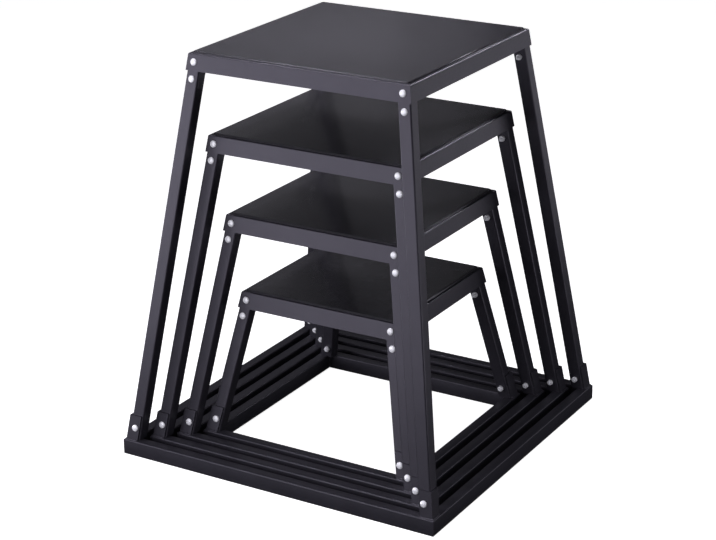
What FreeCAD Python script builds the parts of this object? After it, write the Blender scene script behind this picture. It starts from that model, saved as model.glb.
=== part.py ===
import FreeCAD
import Part
import math
import os

# Driving dimensions of the set, in millimetres
BOX_NAMES = ("box12", "box18", "box24", "box30")  # smallest to largest, by nominal height in inches
SMALLEST_HEIGHT = 304.8  # floor to mat surface
HEIGHT_STEP = 152.4  # each box is this much taller than the one inside it
SMALLEST_BASE = 445.0  # outer width of the smallest base
LARGEST_TOP = 445.0  # outer width of the largest pan's flat top, to its sharp corners
NEST_GAP = 15.5  # room around each box inside the next

# Base rails: rectangular tube, mitred into a square
RAIL_WIDTH = 20.0
RAIL_HEIGHT = 30.0
RAIL_WALL = 1.5
RAIL_EDGE = 2.0  # corners cut off at 45 degrees

# Legs: square tube, splayed both ways
LEG_SIDE = 25.0
LEG_WALL = 1.5
LEG_CORNER = 3.0

# Top pan: folded sheet with a flared skirt
PAN_SHEET = 2.0
SKIRT_DEPTH = 31.0
FOLD_RADIUS = 1.0  # inside the fold
FOLD_CLEARANCE = 0.5  # between a leg's end and the fold

# Mat glued on the pan
MAT_THICKNESS = 3.0
MAT_MARGIN = 2.0  # flat rim of the pan left bare between the fold and the mat
MAT_CORNER = 6.0

# Angle stubs welded upright on the base's corners, around the outside of the legs' feet
STUB_WIDTH = 25.0
STUB_SHEET = 3.0
STUB_HEIGHT = 48.0  # above the rails, with the foot bolt at half of it
STUB_FIT = 0.3  # clearance to the leg's outer faces
WELD_ROOM = 4.0  # rail's outer face to the stub's outer face

# Channel inserts welded under the pan, inside the legs' tops
INSERT_SHEET = 2.5
INSERT_FIT = 0.3  # clearance to the leg's inner walls
INSERT_REACH = 20.0  # past the last bolt

# Round-head bolts whose square shanks lock in square holes, and their nuts
SHANK_SIDE = 6.0
HOLE_FIT = 0.3  # clearance around the shank in a hole
NUT_FIT = 0.1  # clearance around the shank in a nut
HEAD_DIAMETER = 13.0
HEAD_HEIGHT = 3.0
HEAD_SIDES = 12  # few flats, because the bolts repeat
NUT_ACROSS_FLATS = 10.0
NUT_HEIGHT = 5.0
NUT_SIDES = 6
BOLT_TIP = 2.0  # shank past the nut of the thickest joint, at least
BOLT_BELOW_SKIRT = 15.0  # skirt's lower edge to the second bolt

X_AXIS = FreeCAD.Vector(1, 0, 0)
Y_AXIS = FreeCAD.Vector(0, 1, 0)
Z_AXIS = FreeCAD.Vector(0, 0, 1)
ORIGIN = FreeCAD.Vector(0, 0, 0)
QUARTER_TURN = 90.0
HALF_TURN = 180.0
SIDES = ("front", "right", "rear", "left")  # a quarter turn apart, from the -Y side
CORNERS = {
    "front_left": (-1, -1),
    "front_right": (1, -1),
    "rear_left": (-1, 1),
    "rear_right": (1, 1),
}


class Box:
    """Sizes of one box, whose four sides lean in alike from the base to the top."""

    def __init__(self, name, pan_top, base_half, top_half):
        self.name = name
        self.base_half = base_half
        self.top_half = top_half
        self.pan_top = pan_top
        self.pan_under = pan_top - PAN_SHEET
        self.skirt_low = pan_top - SKIRT_DEPTH
        self.leg_top = self.pan_under - FOLD_RADIUS - FOLD_CLEARANCE
        self.skirt_bolt = pan_top - SKIRT_DEPTH / 2
        self.leg_bolt = self.skirt_low - BOLT_BELOW_SKIRT
        self.stub_top = RAIL_HEIGHT + STUB_HEIGHT
        self.foot_bolt = RAIL_HEIGHT + STUB_HEIGHT / 2
        # the stub's outer face starts on the rail, and the skirt's outer face ends at the pan's top
        run = base_half - WELD_ROOM - top_half
        rise = pan_top - RAIL_HEIGHT
        skirt_past_stub = PAN_SHEET - STUB_FIT - STUB_SHEET
        self.lean = math.atan2(run, rise) + math.asin(skirt_past_stub / math.hypot(run, rise))
        self.splay = math.tan(self.lean)

    def run(self, thickness):
        """Horizontal run across a leaning sheet or gap."""
        return thickness / math.cos(self.lean)

    def half(self, z):
        """Half width across the skirt's outer planes at a height."""
        return self.top_half + self.splay * (self.pan_top - z)

    def leg_half(self, z):
        """Half width across the legs, which lie against the skirt's inner faces."""
        return self.half(z) - self.run(PAN_SHEET)


def box_sizes():
    """Every box, from the largest inwards: each top clears the legs of the box around it."""
    boxes = []
    for index in reversed(range(len(BOX_NAMES))):
        pan_top = SMALLEST_HEIGHT + index * HEIGHT_STEP - MAT_THICKNESS
        base_half = SMALLEST_BASE / 2 + index * (RAIL_WIDTH + NEST_GAP)
        top_half = LARGEST_TOP / 2
        if boxes:
            top_half = boxes[-1].leg_half(pan_top) - LEG_SIDE - NEST_GAP
        boxes.append(Box(BOX_NAMES[index], pan_top, base_half, top_half))
    return boxes


def polygon_face(points):
    """Level face through (x, y) points."""
    corners = [FreeCAD.Vector(x, y, 0) for x, y in points]
    return Part.Face(Part.makePolygon(corners + corners[:1]))


def rectangle(width, depth, inset):
    """Corner points of a rectangle with one corner at the origin, drawn in on all sides by an inset."""
    far_x = width - inset
    far_y = depth - inset
    return [(inset, inset), (far_x, inset), (far_x, far_y), (inset, far_y)]


def rounded_face(width, depth, radius):
    """Rectangle with one corner at the origin and its four corners rounded by quarter arcs."""
    centres = [FreeCAD.Vector(x, y, 0) for x, y in rectangle(width, depth, radius)]
    arcs = []
    for index, centre in enumerate(centres):
        start = HALF_TURN + index * QUARTER_TURN
        arcs.append(Part.makeCircle(radius, centre, Z_AXIS, start, start + QUARTER_TURN))
    sides = []
    for arc, following in zip(arcs, arcs[1:] + arcs[:1]):
        sides.append(Part.makeLine(arc.lastVertex().Point, following.firstVertex().Point))
    edges = [edge for pair in zip(arcs, sides) for edge in pair]
    return Part.Face(Part.Wire(edges))


def chamfered_face(width, depth, cut):
    """Rectangle with one corner at the origin and its four corners cut off at 45 degrees."""
    far_x = width - cut
    far_y = depth - cut
    return polygon_face([
        (cut, 0), (far_x, 0), (width, cut), (width, far_y),
        (far_x, depth), (cut, depth), (0, far_y), (0, cut),
    ])


def tube_face(outline, width, depth, wall):
    """Cross-section of a rectangular tube inside an outline."""
    return outline.cut(polygon_face(rectangle(width, depth, wall))).Faces[0]


def regular_prism(across_flats, sides, height):
    """Upright prism on a regular polygon centred on the origin."""
    reach = across_flats / 2 / math.cos(math.pi / sides)
    turn = 2 * math.pi / sides
    points = [(reach * math.cos(turn * i), reach * math.sin(turn * i)) for i in range(sides)]
    return polygon_face(points).extrude(Z_AXIS * height)


def square_bar(side, low, high):
    """Square bar along Z, centred on the Z axis."""
    return Part.makeBox(side, side, high - low, FreeCAD.Vector(-side / 2, -side / 2, low))


def frustum(box, inset, low, high):
    """Solid between the four leaning planes, drawn in by a horizontal inset, from one height to another."""
    wide = box.half(low) - inset
    narrow = box.half(high) - inset
    wedge = Part.makeWedge(-wide, 0, -wide, -narrow, -narrow, wide, high - low, wide, narrow, narrow)
    wedge.rotate(ORIGIN, X_AXIS, QUARTER_TURN)
    wedge.translate(Z_AXIS * low)
    return wedge


def fold_top(solid, radius):
    """Rounds the four edges of a solid's top face."""
    top = max(solid.Faces, key=lambda face: face.CenterOfMass.z)
    return solid.makeFillet(radius, top.Edges)


def corner_prism(box, face, low, high):
    """Sweeps a level section up the rear right leg's lean; the section's origin is the leg's outer corner."""
    start = box.leg_half(low)
    section = face.mirror(ORIGIN, X_AXIS).mirror(ORIGIN, Y_AXIS)
    section.translate(FreeCAD.Vector(start, start, low))
    rise = high - low
    return section.extrude(FreeCAD.Vector(-box.splay * rise, -box.splay * rise, rise))


def at_corner(shape, corner):
    """Copy of a rear right piece at another corner, by mirroring."""
    side_x, side_y = corner
    if side_x < 0:
        shape = shape.mirror(ORIGIN, X_AXIS)
    if side_y < 0:
        shape = shape.mirror(ORIGIN, Y_AXIS)
    return shape


def bolt_place(box, z, out):
    """Place of the rear right bolt at a height: Z points out of the leg's outer face, from that face."""
    spot = FreeCAD.Vector(box.leg_half(z) - LEG_SIDE / 2, box.leg_half(z), z)
    normal = FreeCAD.Vector(0, math.cos(box.lean), math.sin(box.lean))
    turn = FreeCAD.Rotation(X_AXIS, math.degrees(box.lean) - QUARTER_TURN)
    return FreeCAD.Placement(spot + normal * out, turn)


def placed(shape, place):
    """Copy of a shape at a place."""
    copy = shape.copy()
    copy.Placement = place
    return copy


def leg_grip(box):
    """Thickness of a leg along its bolts."""
    return LEG_SIDE * math.cos(box.lean)


def shank_length(box):
    """Length of every bolt of a box, enough for its thickest joint."""
    outer = max(PAN_SHEET, STUB_FIT + STUB_SHEET)
    return outer + leg_grip(box) + NUT_HEIGHT + BOLT_TIP


def bolt(box):
    """Bolt along Z with its head's underside at the origin."""
    head = regular_prism(HEAD_DIAMETER, HEAD_SIDES, HEAD_HEIGHT)
    return head.fuse(square_bar(SHANK_SIDE, -shank_length(box), HEAD_HEIGHT / 2))


def nut():
    """Nut along Z with its seat at the origin."""
    body = regular_prism(NUT_ACROSS_FLATS, NUT_SIDES, NUT_HEIGHT)
    body.translate(Z_AXIS * -NUT_HEIGHT)
    return body.cut(square_bar(SHANK_SIDE + 2 * NUT_FIT, -2 * NUT_HEIGHT, NUT_HEIGHT))


def bolt_holes(box, heights):
    """Square bars that cut the rear right bolt holes at these heights."""
    reach = shank_length(box)
    bar = square_bar(SHANK_SIDE + 2 * HOLE_FIT, -reach, reach)
    return Part.makeCompound([placed(bar, bolt_place(box, z, 0.0)) for z in heights])


def top_pan(box):
    """Folded pan: flat top, flared skirt, and the skirt's bolt holes."""
    outer = fold_top(frustum(box, 0.0, box.skirt_low, box.pan_top), FOLD_RADIUS + PAN_SHEET)
    inner = fold_top(frustum(box, box.run(PAN_SHEET), box.skirt_low - PAN_SHEET, box.pan_under), FOLD_RADIUS)
    pan = outer.cut(inner)
    hole = bolt_holes(box, [box.skirt_bolt])
    return pan.cut([at_corner(hole, corner) for corner in CORNERS.values()])


def top_mat(box):
    """Thin mat inside the pan's folded edges."""
    half = box.half(box.pan_top) - FOLD_RADIUS - PAN_SHEET - MAT_MARGIN
    face = rounded_face(2 * half, 2 * half, MAT_CORNER)
    face.translate(FreeCAD.Vector(-half, -half, box.pan_top))
    return face.extrude(Z_AXIS * MAT_THICKNESS)


def leg(box):
    """Rear right leg, from the rails' top to just under the pan's fold."""
    outline = rounded_face(LEG_SIDE, LEG_SIDE, LEG_CORNER)
    face = tube_face(outline, LEG_SIDE, LEG_SIDE, LEG_WALL)
    tube = corner_prism(box, face, RAIL_HEIGHT, box.leg_top)
    return tube.cut(bolt_holes(box, [box.skirt_bolt, box.leg_bolt, box.foot_bolt]))


def foot_stub(box):
    """Angle around the outside of the rear right leg's foot, upright on the rails."""
    near = -box.run(STUB_FIT)
    out = near - box.run(STUB_SHEET)
    end = out + STUB_WIDTH
    points = [(out, out), (end, out), (end, near), (near, near), (near, end), (out, end)]
    angle = corner_prism(box, polygon_face(points), RAIL_HEIGHT, box.stub_top)
    return angle.cut(bolt_holes(box, [box.foot_bolt]))


def top_insert(box):
    """Channel inside the rear right leg's top: its web lies on the bolted wall, and its flanges point in."""
    near = LEG_WALL + INSERT_FIT
    far = LEG_SIDE - near
    web = near + INSERT_SHEET
    points = [
        (near, near),
        (far, near),
        (far, far),
        (far - INSERT_SHEET, far),
        (far - INSERT_SHEET, web),
        (web, web),
        (web, far),
        (near, far),
    ]
    channel = corner_prism(box, polygon_face(points), box.leg_bolt - INSERT_REACH, box.pan_under)
    return channel.cut(bolt_holes(box, [box.skirt_bolt, box.leg_bolt]))


def rail(box):
    """Front base rail: a tube along X with mitred ends."""
    half = box.base_half
    outline = chamfered_face(RAIL_WIDTH, RAIL_HEIGHT, RAIL_EDGE)
    face = tube_face(outline, RAIL_WIDTH, RAIL_HEIGHT, RAIL_WALL)
    face.rotate(ORIGIN, X_AXIS, QUARTER_TURN)
    face.rotate(ORIGIN, Z_AXIS, QUARTER_TURN)
    face.translate(FreeCAD.Vector(-half, -half, 0))
    tube = face.extrude(X_AXIS * (2 * half))
    short = half - RAIL_WIDTH
    mitre = polygon_face([(-half, -half), (half, -half), (short, -short), (-short, -short)])
    return tube.common(mitre.extrude(Z_AXIS * RAIL_HEIGHT))


def everywhere(shapes):
    """Group of a rear right corner's pieces at all four corners."""
    return Part.makeCompound([at_corner(shape, corner) for corner in CORNERS.values() for shape in shapes])


def box_nodes(box):
    """Every node of one box by name."""
    # what lies between a leg and each bolt's head
    outer_layers = {box.skirt_bolt: PAN_SHEET, box.leg_bolt: 0.0, box.foot_bolt: STUB_FIT + STUB_SHEET}
    bolts = [placed(bolt(box), bolt_place(box, z, layer)) for z, layer in outer_layers.items()]
    nuts = [placed(nut(), bolt_place(box, z, -leg_grip(box))) for z in outer_layers]
    nodes = {
        "top_pan": top_pan(box),
        "top_mat": top_mat(box),
        "top_inserts": everywhere([top_insert(box)]),
        "foot_stubs": everywhere([foot_stub(box)]),
        "bolts": everywhere(bolts),
        "nuts": everywhere(nuts),
    }
    one_leg = leg(box)
    for name, corner in CORNERS.items():
        nodes["leg_" + name] = at_corner(one_leg, corner)
    for turns, side in enumerate(SIDES):
        nodes["rail_" + side] = rail(box).rotated(ORIGIN, Z_AXIS, turns * QUARTER_TURN)
    return nodes


os.makedirs("parts", exist_ok=True)
for each_box in box_sizes():
    for node, shape in box_nodes(each_box).items():
        shape.exportStep("parts/" + each_box.name + "_" + node + ".step")
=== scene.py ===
import bmesh
import bpy
import math
from mathutils import Matrix, Vector


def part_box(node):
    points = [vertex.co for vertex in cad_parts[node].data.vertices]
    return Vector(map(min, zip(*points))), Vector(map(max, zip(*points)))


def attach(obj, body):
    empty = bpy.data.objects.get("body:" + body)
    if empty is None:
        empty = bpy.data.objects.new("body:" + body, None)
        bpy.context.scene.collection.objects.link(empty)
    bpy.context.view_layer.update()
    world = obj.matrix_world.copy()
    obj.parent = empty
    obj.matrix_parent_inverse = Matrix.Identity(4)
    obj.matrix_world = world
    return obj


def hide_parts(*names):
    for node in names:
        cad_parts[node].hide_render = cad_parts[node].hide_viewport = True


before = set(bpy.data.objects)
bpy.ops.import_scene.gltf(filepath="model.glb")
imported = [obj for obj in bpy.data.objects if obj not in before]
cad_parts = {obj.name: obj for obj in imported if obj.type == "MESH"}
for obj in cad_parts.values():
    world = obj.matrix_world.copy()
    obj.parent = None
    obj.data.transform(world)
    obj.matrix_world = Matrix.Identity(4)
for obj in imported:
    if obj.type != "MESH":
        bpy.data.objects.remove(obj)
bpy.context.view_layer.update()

MM = 0.001

# The set, smallest box first; each box is a body of its own
BOXES = ("box12", "box18", "box24", "box30")
SIDES = ("front", "right", "rear", "left")  # a quarter turn apart, from the -Y side
CORNERS = {
    "front_left": (-1, -1),
    "front_right": (1, -1),
    "rear_left": (-1, 1),
    "rear_right": (1, 1),
}
QUARTER_TURN = math.pi / 2
FULL_TURN = 2 * math.pi

# Stock of the steelwork
LEG_SIDE = 25 * MM
RAIL_WIDTH = 20 * MM
RAIL_WALL = 1.5 * MM
RAIL_CORNER = 1.8 * MM
PAN_SHEET = 2 * MM
STUB_WIDTH = 25 * MM
STUB_SEAT = 3.3 * MM  # leg's outer face to the stub's outer face
CORNER_STEPS = 4

# Fasteners
HEAD_RADIUS = 6.5 * MM
HEAD_HEIGHT = 3 * MM
HEAD_RIM = 0.7 * MM
HEAD_EDGE = 0.25 * MM
DOME_STEPS = 6
DOME_START = math.radians(82)
NECK_SIDE = 6 * MM
NECK_LENGTH = 3.5 * MM
THREAD_RADIUS = 3 * MM
THREAD_DEPTH = 0.45 * MM
THREAD_PITCH = 1 * MM
THREAD_ROWS = 4  # rows of points in one pitch
THREAD_LENGTH = 11 * MM
SHANK_RADIUS = 2.7 * MM
BOLT_TIP = 2 * MM  # past the nut of the thickest joint
BOLT_BELOW_SKIRT = 15 * MM
NUT_HALF_FLATS = 5 * MM
NUT_HEIGHT = 5 * MM
NUT_HOLE = 3.05 * MM
NUT_LIP = 0.4 * MM  # countersink at both mouths
NUT_FACE = 4.8 * MM  # radius of the flat ring on each end
NUT_CHAMFER = math.radians(30)
NUT_TURN = math.radians(37)  # each nut stops at another angle
COLUMNS = 24

# Weld beads
BEAD_RADIUS = 1.9 * MM
BEAD_RIPPLE = 0.25 * MM
BEAD_RIPPLE_LENGTH = 2.6 * MM
BEAD_STEP = 0.65 * MM
BEAD_SIDES = 10
BEAD_END = 0.45  # share of the radius at a bead's ends
RAIL_BEAD_INSET = 3 * MM  # from a rail's top and bottom

# Rubber mats
RIB_PITCH = 3.2 * MM
RIB_DEPTH = 0.3 * MM
RIB_PROFILE = ((0.0, 0), (0.25, 1), (0.55, 1), (0.8, 0))  # share of a pitch, raised or not
MAT_CORNER = 6 * MM
MAT_BEVEL = 2.2 * MM  # sloping edge all round

# The photograph's view
CAMERA_EYE = Vector((1.7422, -2.9458, 1.6157))
CAMERA_AZIMUTH = math.radians(30.781)
CAMERA_ELEVATION = math.radians(20.744)
CAMERA_ROLL = math.radians(-0.477)
CAMERA_LENS = 98.49
CAMERA_SENSOR = 36.0
CAMERA_REACH = 200.0

# Finishes
COLOUR_ENDS = (0.32, 0.68)  # noise values at which the dark and the light shade are reached
ROUGHNESS_ENDS = (0.3, 0.7)  # noise values at which the least and the most roughness are reached
COAT_GLEAM = (0.90, 0.86, 1.0, 1)  # tint of the reflections
RUBBER_GLEAM = (0.92, 0.90, 1.0, 1)
ZINC_METALLIC = 0.15
WHITE = (1, 1, 1, 1)
SMOOTH_ANGLE = math.radians(35)

# Studio
SOFTBOX_TINT = (1.0, 0.98, 1.08)
SOFTBOX_DISTANCE = 2.2
SOFTBOX_SIDE = 1.0
SOFTBOX_AIM = 0.4  # height on the set's middle line that a softbox faces
LOW_ELEVATION = 3  # degrees, for a softbox that stands nearly level with its aim
OPEN_SPREAD = 180  # degrees, for a softbox without a grid
GRID_SPREAD = 20
GLEAM_SIDE = 0.6
GLEAM_AIM = 0.76
REAR_SIDE = 1.2
FACE_DISTANCE = 1.3
FACE_SIDE = 0.5
FACE_AIM = 0.55
OVERHEAD_DISTANCE = 2.6
OVERHEAD_SIDE = 1.5
RAIL_LIGHTS = (  # name, azimuth and power of each low light on the base rails
    ("floor_left", -65, 2.5),
    ("floor_front", -20, 0.5),
    ("floor_right", 100, 3.6),
)
RAIL_LIGHT_DISTANCE = 1.4
RAIL_LIGHT_SIDE = 0.4
RAIL_LIGHT_AIM = 0.06
FILL_STRENGTH = 0.01
FLOOR_HALF = 40.0
FLOOR_DROP = 0.2 * MM
FLOOR_ROUGHNESS = 0.9
FLOOR_GLOW = 0.95


class BoxFrame:
    """Places on one box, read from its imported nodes."""

    def __init__(self, name):
        self.name = name
        self.pan_low, self.pan_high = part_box(name + "_top_pan")
        self.mat_low, self.mat_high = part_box(name + "_top_mat")
        self.rail_low, self.rail_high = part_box(name + "_rail_front")
        self.stub_low, self.stub_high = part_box(name + "_foot_stubs")
        self.leg_low, self.leg_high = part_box(name + "_leg_rear_right")
        lean_in = self.leg_high.x - self.leg_low.x - LEG_SIDE
        self.splay = lean_in / (self.leg_high.z - self.leg_low.z)
        self.lean = math.atan(self.splay)
        self.base_half = self.rail_high.x
        self.grip = LEG_SIDE * math.cos(self.lean)

    def leg_half(self, z):
        """Half width across the legs at a height."""
        return self.leg_high.x - self.splay * (z - self.leg_low.z)

    def bolt_spots(self):
        """Height of each bolt on a leg, and what lies between the leg and its head."""
        return (
            ((self.pan_low.z + self.pan_high.z) / 2, PAN_SHEET),
            (self.pan_low.z - BOLT_BELOW_SKIRT, 0.0),
            ((self.stub_low.z + self.stub_high.z) / 2, STUB_SEAT),
        )

    def bolt_place(self, corner, z, out):
        """Place on a leg's front or rear face, with Z pointing out of it."""
        side_x, side_y = corner
        half = self.leg_half(z)
        normal = Vector((0, side_y * math.cos(self.lean), math.sin(self.lean)))
        across = Vector((1, 0, 0))
        turn = Matrix((across, normal.cross(across), normal)).transposed()
        spot = Vector((side_x * (half - LEG_SIDE / 2), side_y * half, z)) + normal * out
        return Matrix.Translation(spot) @ turn.to_4x4()


def add_rings(mesh, rings, closed=False):
    """Skins rings of as many points each: capped at both ends, or joined last to first."""
    rows = [[mesh.verts.new(point) for point in points] for points in rings]
    following = rows[1:] + rows[:1] if closed else rows[1:]
    for row, after in zip(rows, following):
        for index in range(len(row)):
            step = (index + 1) % len(row)
            mesh.faces.new((row[index], row[step], after[step], after[index]))
    if not closed:
        mesh.faces.new(list(reversed(rows[0])))
        mesh.faces.new(rows[-1])


def add_piece(name, mesh, material, body, replaced=()):
    """Turns a bmesh into a finished piece that rides on a body."""
    bmesh.ops.recalc_face_normals(mesh, faces=mesh.faces)
    data = bpy.data.meshes.new(name)
    mesh.to_mesh(data)
    mesh.free()
    data.shade_smooth()
    data.set_sharp_from_angle(angle=SMOOTH_ANGLE)
    data.materials.append(material)
    piece = bpy.data.objects.new(name, data)
    bpy.context.scene.collection.objects.link(piece)
    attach(piece, body)
    if replaced:
        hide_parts(*replaced)


def ring_angles():
    return [FULL_TURN * index / COLUMNS for index in range(COLUMNS)]


def ring(place, radius_at, z):
    """Ring of points around a place's Z axis, with a radius for each angle."""
    points = []
    for angle in ring_angles():
        radius = radius_at(angle)
        points.append(place @ Vector((radius * math.cos(angle), radius * math.sin(angle), z)))
    return points


def round_ring(place, radius, z):
    return ring(place, lambda angle: radius, z)


def square_reach(side):
    """Radius of a square at each angle."""
    return lambda angle: side / 2 / max(abs(math.cos(angle)), abs(math.sin(angle)))


def thread_reach(z, tip):
    """Radius of a screw thread at each angle, cut back to its root at the tip."""
    def reach(angle):
        phase = (z / THREAD_PITCH - angle / FULL_TURN) % 1
        crest = 1 - abs(2 * phase - 1)
        lead_in = min(1, (z - tip) / THREAD_PITCH)
        return THREAD_RADIUS - THREAD_DEPTH * (1 - crest * lead_in)
    return reach


def bolt_rings(place, length):
    """Round-head bolt from its dome through a square neck and a shank to its threaded tip."""
    rings = []
    for step in range(DOME_STEPS + 1):
        angle = DOME_START * (1 - step / DOME_STEPS)
        height = HEAD_RIM + (HEAD_HEIGHT - HEAD_RIM) * math.sin(angle)
        rings.append(round_ring(place, HEAD_RADIUS * math.cos(angle), height))
    rings.append(round_ring(place, HEAD_RADIUS, HEAD_EDGE))
    rings.append(round_ring(place, HEAD_RADIUS - HEAD_EDGE, 0))
    rings.append(ring(place, square_reach(NECK_SIDE), 0))
    rings.append(ring(place, square_reach(NECK_SIDE), -NECK_LENGTH))
    rings.append(round_ring(place, SHANK_RADIUS, -NECK_LENGTH))
    rings.append(round_ring(place, SHANK_RADIUS, THREAD_LENGTH - length))
    row_height = THREAD_PITCH / THREAD_ROWS
    for row in reversed(range(int(THREAD_LENGTH / row_height))):
        z = row * row_height - length
        rings.append(ring(place, thread_reach(z, -length), z))
    return rings


def nut_rings(place, turn):
    """Closed loop of rings around a hexagon nut that hangs below its seat, with chamfered corners."""
    sixth = FULL_TURN / 6

    def hexagon(angle):
        off_flat = (angle + turn) % sixth - sixth / 2
        return NUT_HALF_FLATS / math.cos(off_flat)

    def corner_drop(angle):
        return (hexagon(angle) - NUT_FACE) * math.tan(NUT_CHAMFER)

    def hexagon_ring(sign):
        middle = -NUT_HEIGHT / 2
        points = []
        for angle in ring_angles():
            z = middle + sign * (NUT_HEIGHT / 2 - corner_drop(angle))
            reach = hexagon(angle)
            points.append(place @ Vector((reach * math.cos(angle), reach * math.sin(angle), z)))
        return points

    return [
        round_ring(place, NUT_HOLE, -NUT_LIP),
        round_ring(place, NUT_HOLE + NUT_LIP, 0),
        round_ring(place, NUT_FACE, 0),
        hexagon_ring(1),
        hexagon_ring(-1),
        round_ring(place, NUT_FACE, -NUT_HEIGHT),
        round_ring(place, NUT_HOLE + NUT_LIP, -NUT_HEIGHT),
        round_ring(place, NUT_HOLE, NUT_LIP - NUT_HEIGHT),
    ]


def add_fasteners(box, zinc):
    """Bolts and nuts of one box."""
    bolts = bmesh.new()
    nuts = bmesh.new()
    length = STUB_SEAT + box.grip + NUT_HEIGHT + BOLT_TIP
    count = 0
    for corner in CORNERS.values():
        for z, out in box.bolt_spots():
            head_seat = box.bolt_place(corner, z, out)
            nut_seat = box.bolt_place(corner, z, -box.grip)
            add_rings(bolts, bolt_rings(head_seat, length))
            add_rings(nuts, nut_rings(nut_seat, count * NUT_TURN), closed=True)
            count += 1
    add_piece(box.name + "_domed_bolts", bolts, zinc, box.name, [box.name + "_bolts"])
    add_piece(box.name + "_hexagon_nuts", nuts, zinc, box.name, [box.name + "_nuts"])


def rounded_outline(width, height, radius, inset):
    """Points around a rounded rectangle drawn in by an inset, with one corner at the origin."""
    arc = max(radius - inset, inset / 2)
    low = inset + arc
    centres = ((low, low), (width - low, low), (width - low, height - low), (low, height - low))
    points = []
    for index, (centre_x, centre_y) in enumerate(centres):
        for step in range(CORNER_STEPS + 1):
            angle = math.pi + QUARTER_TURN * (index + step / CORNER_STEPS)
            points.append((centre_x + arc * math.cos(angle), centre_y + arc * math.sin(angle)))
    return points


def add_rails(box, coat):
    """Base rails: rolled tubes with rounded corners and mitred ends."""
    half = box.base_half
    height = box.rail_high.z
    for turns, side in enumerate(SIDES):
        rotation = Matrix.Rotation(turns * QUARTER_TURN, 4, "Z")
        rings = []
        for inset, end in ((0.0, -1), (0.0, 1), (RAIL_WALL, 1), (RAIL_WALL, -1)):
            outline = rounded_outline(RAIL_WIDTH, height, RAIL_CORNER, inset)
            points = [Vector((end * (half - inward), inward - half, z)) for inward, z in outline]
            rings.append([rotation @ point for point in points])
        rail = bmesh.new()
        add_rings(rail, rings, closed=True)
        node = box.name + "_rail_" + side
        add_piece(node + "_tube", rail, coat, box.name, [node])


def path_points(corners, step):
    """Points along straight runs, about a step apart."""
    points = [corners[0]]
    for start, end in zip(corners, corners[1:]):
        count = max(1, round((end - start).length / step))
        points += [start.lerp(end, (index + 1) / count) for index in range(count)]
    return points


def bead_rings(corners):
    """Rippled weld bead along a path, with tapered ends."""
    points = path_points(corners, BEAD_STEP)
    last = len(points) - 1
    rings = []
    for index, point in enumerate(points):
        along = (points[min(index + 1, last)] - points[max(index - 1, 0)]).normalized()
        turn = along.to_track_quat("Z", "Y").to_matrix().to_4x4()
        wave = abs(math.sin(math.pi * index * BEAD_STEP / BEAD_RIPPLE_LENGTH))
        radius = BEAD_RADIUS + BEAD_RIPPLE * wave
        if index in (0, last):
            radius *= BEAD_END
        place = Matrix.Translation(point) @ turn
        circle = []
        for side in range(BEAD_SIDES):
            angle = FULL_TURN * side / BEAD_SIDES
            circle.append(place @ Vector((radius * math.cos(angle), radius * math.sin(angle), 0)))
        rings.append(circle)
    return rings


def add_welds(box, coat):
    """Beads along the foot stubs' outer faces and in the base's inner corners."""
    welds = bmesh.new()
    rail_top = box.rail_high.z
    stub = box.stub_high.x
    inner = box.base_half - RAIL_WIDTH
    for side_x, side_y in CORNERS.values():
        foot = ((stub - STUB_WIDTH, stub), (stub, stub), (stub, stub - STUB_WIDTH))
        add_rings(welds, bead_rings([Vector((side_x * x, side_y * y, rail_top)) for x, y in foot]))
        heights = (RAIL_BEAD_INSET, rail_top - RAIL_BEAD_INSET)
        add_rings(welds, bead_rings([Vector((side_x * inner, side_y * inner, z)) for z in heights]))
    add_piece(box.name + "_weld_beads", welds, coat, box.name)


def add_mat(box, rubber):
    """Rubber sheet with fine ribs from front to rear, rounded corners and a sloping edge."""
    half = box.mat_high.x
    low = box.mat_low.z
    lip = box.mat_high.z - MAT_BEVEL
    groove = box.mat_high.z - RIB_DEPTH
    flat = half - MAT_BEVEL
    count = round(2 * flat / RIB_PITCH)
    pitch = 2 * flat / count
    stations = [(-half, lip)]
    for index in range(count):
        for share, raised in RIB_PROFILE:
            stations.append(((index + share) * pitch - flat, groove + raised * RIB_DEPTH))
    stations += [(flat, groove), (half, lip)]
    rings = []
    for x, top in stations:
        past = max(0.0, abs(x) - (half - MAT_CORNER))
        end = half - MAT_CORNER + math.sqrt(max(0.0, MAT_CORNER ** 2 - past ** 2))
        inner = end - (top - lip)
        outline = ((-end, low), (end, low), (end, lip), (inner, top), (-inner, top), (-end, lip))
        rings.append([Vector((x, y, z)) for y, z in outline])
    mat = bmesh.new()
    add_rings(mat, rings)
    add_piece(box.name + "_ribbed_mat", mat, rubber, box.name, [box.name + "_top_mat"])


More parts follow.
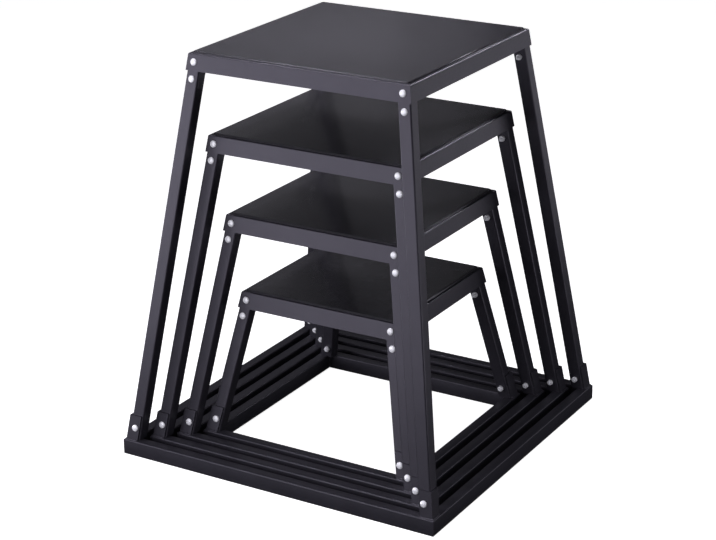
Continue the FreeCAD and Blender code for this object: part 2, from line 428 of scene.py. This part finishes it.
class Finish:
    """Material whose colour, roughness and relief come from noise in the piece's own coordinates."""

    def __init__(self, name):
        self.material = bpy.data.materials.new(name)
        self.material.use_nodes = True
        self.tree = self.material.node_tree
        self.shader = self.tree.nodes["Principled BSDF"]
        self.place = self.tree.nodes.new("ShaderNodeTexCoord").outputs["Object"]

    def noise(self, size, detail):
        """Noise whose blotches are about this many metres across."""
        node = self.tree.nodes.new("ShaderNodeTexNoise")
        node.inputs["Scale"].default_value = 1 / size
        node.inputs["Detail"].default_value = detail
        self.tree.links.new(self.place, node.inputs["Vector"])
        return node.outputs["Fac"]

    def colour(self, size, detail, dark, light):
        """Base colour that drifts between two shades."""
        factor = self.noise(size, detail)
        node = self.tree.nodes.new("ShaderNodeValToRGB")
        stops = node.color_ramp.elements
        for stop, position, shade in zip(stops, COLOUR_ENDS, (dark, light)):
            stop.position = position
            stop.color = (*shade, 1)
        self.tree.links.new(factor, node.inputs["Fac"])
        self.tree.links.new(node.outputs["Color"], self.shader.inputs["Base Color"])

    def roughness(self, size, detail, low, high):
        """Roughness that drifts between two values."""
        factor = self.noise(size, detail)
        node = self.tree.nodes.new("ShaderNodeMapRange")
        node.inputs["From Min"].default_value = ROUGHNESS_ENDS[0]
        node.inputs["From Max"].default_value = ROUGHNESS_ENDS[1]
        node.inputs["To Min"].default_value = low
        node.inputs["To Max"].default_value = high
        self.tree.links.new(factor, node.inputs["Value"])
        self.tree.links.new(node.outputs["Result"], self.shader.inputs["Roughness"])

    def relief(self, size, detail, strength, depth):
        """Fine surface relief of a depth in metres."""
        factor = self.noise(size, detail)
        node = self.tree.nodes.new("ShaderNodeBump")
        node.inputs["Strength"].default_value = strength
        node.inputs["Distance"].default_value = depth
        self.tree.links.new(factor, node.inputs["Height"])
        self.tree.links.new(node.outputs["Normal"], self.shader.inputs["Normal"])


def make_coat():
    """Satin black coat with a faint violet cast and orange-peel relief."""
    finish = Finish("powder_coat")
    finish.colour(size=60 * MM, detail=4, dark=(0.020, 0.019, 0.024), light=(0.026, 0.025, 0.031))
    finish.roughness(size=5 * MM, detail=3, low=0.38, high=0.44)
    finish.relief(size=1.3 * MM, detail=2, strength=0.35, depth=0.08 * MM)
    finish.shader.inputs["Specular Tint"].default_value = COAT_GLEAM
    return finish.material


def make_rubber():
    """Black rubber with a soft sheen, a mottled bloom and a grainy skin."""
    finish = Finish("rubber_mat")
    finish.colour(size=35 * MM, detail=5, dark=(0.034, 0.033, 0.037), light=(0.044, 0.043, 0.048))
    finish.roughness(size=6 * MM, detail=3, low=0.14, high=0.2)
    finish.relief(size=0.9 * MM, detail=2, strength=0.2, depth=0.05 * MM)
    finish.shader.inputs["Specular Tint"].default_value = RUBBER_GLEAM
    return finish.material


def make_zinc():
    """Bright zinc plate, slightly clouded."""
    finish = Finish("zinc_hardware")
    finish.colour(size=4 * MM, detail=3, dark=(0.88, 0.89, 0.91), light=(0.95, 0.95, 0.96))
    finish.roughness(size=2.5 * MM, detail=3, low=0.28, high=0.42)
    finish.relief(size=0.6 * MM, detail=2, strength=0.2, depth=0.03 * MM)
    finish.shader.inputs["Metallic"].default_value = ZINC_METALLIC
    return finish.material


def paint_nodes(box, coat):
    """Gives a box's remaining nodes their finish."""
    names = ["top_pan", "top_inserts", "foot_stubs"]
    names += ["leg_" + corner for corner in CORNERS]
    for name in names:
        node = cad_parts[box.name + "_" + name]
        node.data.materials.clear()
        node.data.materials.append(coat)


def add_camera():
    """Camera at the photograph's viewing angle."""
    data = bpy.data.cameras.new("camera")
    data.lens = CAMERA_LENS
    data.sensor_width = CAMERA_SENSOR
    data.clip_end = CAMERA_REACH
    camera = bpy.data.objects.new("camera", data)
    turn = Matrix.Rotation(CAMERA_AZIMUTH, 4, "Z")
    tilt = Matrix.Rotation(QUARTER_TURN - CAMERA_ELEVATION, 4, "X")
    roll = Matrix.Rotation(CAMERA_ROLL, 4, "Z")
    camera.matrix_world = Matrix.Translation(CAMERA_EYE) @ turn @ tilt @ roll
    bpy.context.scene.collection.objects.link(camera)
    bpy.context.scene.camera = camera


def direction(azimuth, elevation):
    """Unit vector at an azimuth from the front, turning to the right, and an elevation, in degrees."""
    turn = math.radians(azimuth)
    rise = math.radians(elevation)
    return Vector((math.sin(turn) * math.cos(rise), -math.cos(turn) * math.cos(rise), math.sin(rise)))


def add_softbox(name, azimuth, elevation, power, distance=SOFTBOX_DISTANCE, side=SOFTBOX_SIDE,
                aim=SOFTBOX_AIM, spread=OPEN_SPREAD):
    """Square softbox that faces the set and stays out of the picture."""
    data = bpy.data.lights.new(name, "AREA")
    data.size = side
    data.energy = power
    data.color = SOFTBOX_TINT
    data.spread = math.radians(spread)
    light = bpy.data.objects.new(name, data)
    outward = direction(azimuth, elevation)
    light.location = Vector((0, 0, aim)) + distance * outward
    light.rotation_euler = outward.to_track_quat("Z", "Y").to_euler()
    light.visible_camera = False
    bpy.context.scene.collection.objects.link(light)


def add_softboxes():
    """Soft light from all round: broad on the faces, gridded on the folds, low on the base rails."""
    add_softbox("left", azimuth=-50, elevation=LOW_ELEVATION, power=14.6)
    add_softbox("front_left", azimuth=-20, elevation=LOW_ELEVATION, power=7.8)
    add_softbox("front", azimuth=5, elevation=LOW_ELEVATION, power=5.4)
    add_softbox("front_high", azimuth=-20, elevation=28, power=9.5)
    add_softbox("front_right", azimuth=60, elevation=5, power=0.6,
                distance=FACE_DISTANCE, side=FACE_SIDE, aim=FACE_AIM)
    add_softbox("left_high", azimuth=-75, elevation=60, power=0.9,
                side=GLEAM_SIDE, aim=GLEAM_AIM, spread=GRID_SPREAD)
    add_softbox("rear_right", azimuth=140, elevation=LOW_ELEVATION, power=3.5)
    add_softbox("rear_high", azimuth=158, elevation=29, power=0.9,
                side=GLEAM_SIDE, aim=GLEAM_AIM, spread=GRID_SPREAD)
    add_softbox("rear_left", azimuth=-141, elevation=22, power=0.85, side=REAR_SIDE)
    add_softbox("overhead", azimuth=0, elevation=90, power=26.0,
                distance=OVERHEAD_DISTANCE, side=OVERHEAD_SIDE)
    for name, azimuth, power in RAIL_LIGHTS:
        add_softbox(name, azimuth=azimuth, elevation=LOW_ELEVATION, power=power,
                    distance=RAIL_LIGHT_DISTANCE, side=RAIL_LIGHT_SIDE, aim=RAIL_LIGHT_AIM)


def add_floor():
    """Plain pale floor that shows a soft shadow but throws no light back up."""
    finish = Finish("floor")
    finish.colour(size=0.8, detail=2, dark=(0.80, 0.80, 0.80), light=(0.82, 0.82, 0.82))
    finish.shader.inputs["Roughness"].default_value = FLOOR_ROUGHNESS
    finish.shader.inputs["Emission Color"].default_value = WHITE
    finish.shader.inputs["Emission Strength"].default_value = FLOOR_GLOW
    data = bpy.data.meshes.new("floor")
    around = ((-1, -1), (1, -1), (1, 1), (-1, 1))
    corners = [(x * FLOOR_HALF, y * FLOOR_HALF, -FLOOR_DROP) for x, y in around]
    data.from_pydata(corners, [], [(0, 1, 2, 3)])
    data.materials.append(finish.material)
    floor = bpy.data.objects.new("floor", data)
    floor.visible_diffuse = False
    floor.visible_glossy = False
    bpy.context.scene.collection.objects.link(floor)


def add_studio():
    """White surroundings with a dim fill."""
    scene = bpy.context.scene
    scene.view_settings.view_transform = "Standard"
    scene.world = bpy.data.worlds.new("studio")
    scene.world.use_nodes = True
    tree = scene.world.node_tree
    fill = tree.nodes["Background"]
    fill.inputs["Color"].default_value = WHITE
    fill.inputs["Strength"].default_value = FILL_STRENGTH
    backdrop = tree.nodes.new("ShaderNodeBackground")
    backdrop.inputs["Color"].default_value = WHITE
    path = tree.nodes.new("ShaderNodeLightPath")
    mix = tree.nodes.new("ShaderNodeMixShader")
    tree.links.new(path.outputs["Is Camera Ray"], mix.inputs["Fac"])
    tree.links.new(fill.outputs["Background"], mix.inputs[1])
    tree.links.new(backdrop.outputs["Background"], mix.inputs[2])
    tree.links.new(mix.outputs["Shader"], tree.nodes["World Output"].inputs["Surface"])


coat_finish = make_coat()
rubber_finish = make_rubber()
zinc_finish = make_zinc()
for box_name in BOXES:
    one_box = BoxFrame(box_name)
    paint_nodes(one_box, coat_finish)
    add_rails(one_box, coat_finish)
    add_welds(one_box, coat_finish)
    add_fasteners(one_box, zinc_finish)
    add_mat(one_box, rubber_finish)
add_floor()
add_studio()
add_softboxes()
add_camera()
